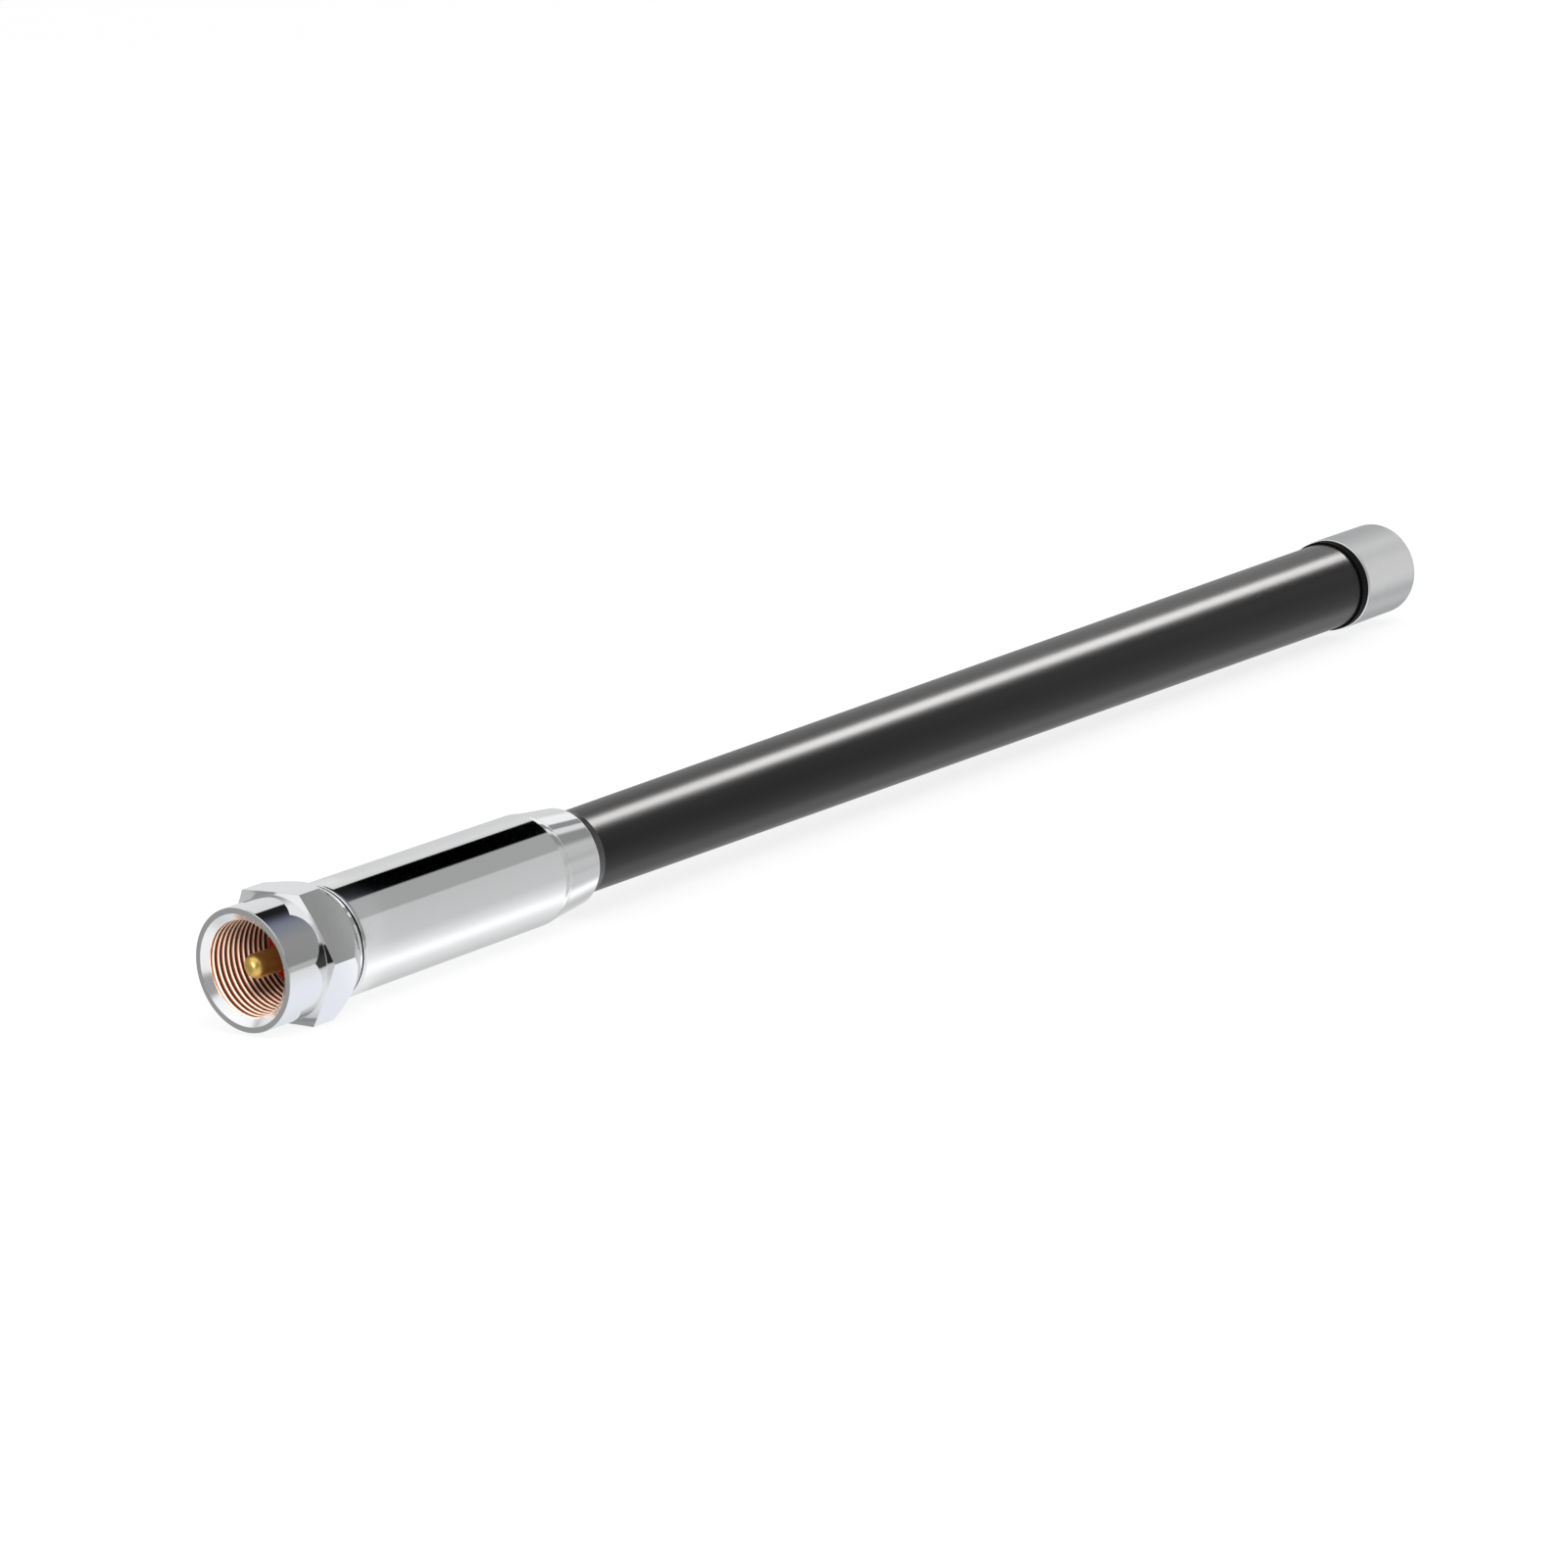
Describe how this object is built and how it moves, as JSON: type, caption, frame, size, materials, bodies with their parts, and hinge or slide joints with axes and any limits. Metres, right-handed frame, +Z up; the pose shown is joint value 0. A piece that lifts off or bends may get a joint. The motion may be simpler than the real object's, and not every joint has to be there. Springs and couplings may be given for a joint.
{
  "type": "dual band vehicle antenna",
  "caption": "Straight vehicle antenna with a screw-on coaxial plug, a plated barrel, a black tube that widens to the tip, and a metal end cap.",
  "frame": {"origin": "centre of the plug insulator's front face, where the centre pin leaves it: the plug's reference plane, on the antenna's axis", "axes": "+X along the antenna's axis, from the plug towards the tip, so the pin and the nut's mouth point to -X; +Z up as the antenna lies on a flat of its nut"},
  "size_m": [0.3159, 0.023, 0.02],
  "materials": {
    "plated_metal": "polished",
    "nickel_brass": "bright turned",
    "red_insulator": "smooth moulded",
    "gold_contact": "polished plate",
    "steel": "turned",
    "seal_rubber": "matt",
    "circuit_board": "laminate",
    "ceramic": "dipped",
    "natural_plastic": "turned",
    "enamelled_wire": "varnished",
    "bare_brass": "drawn",
    "black_tube": "satin moulded",
    "satin_aluminium": "satin anodised"
  },
  "bodies": {
    "antenna": {"plug_body": "nickel_brass", "plug_insulator": "red_insulator", "center_pin": "gold_contact", "thrust_washer": "seal_rubber", "barrel": "plated_metal", "lock_nut": "steel", "tube_collar": "plated_metal", "collar_seal": "seal_rubber", "matching_board": "circuit_board", "tuning_capacitor": "ceramic", "coil_former": "natural_plastic", "matching_coil": "enamelled_wire", "feed_rod": "bare_brass", "base_plug": "natural_plastic", "radome_tube": "black_tube", "lower_radiator": "bare_brass", "phasing_core": "natural_plastic", "phasing_coil": "enamelled_wire", "upper_radiator": "bare_brass", "spacer_disc_1": "natural_plastic", "spacer_disc_2": "natural_plastic", "spacer_disc_3": "natural_plastic", "spacer_disc_4": "natural_plastic", "tip_gasket": "seal_rubber", "tip_cap": "satin_aluminium", "cap_ring_seal": "seal_rubber"},
    "coupling": {"coupling_nut": "plated_metal"}
  },
  "joints": [
    {"name": "nut_turn", "type": "hinge", "parent": "antenna", "child": "coupling", "pos_m": [0, 0, 0], "axis": [1, 0, 0], "continuous": true}
  ]
}
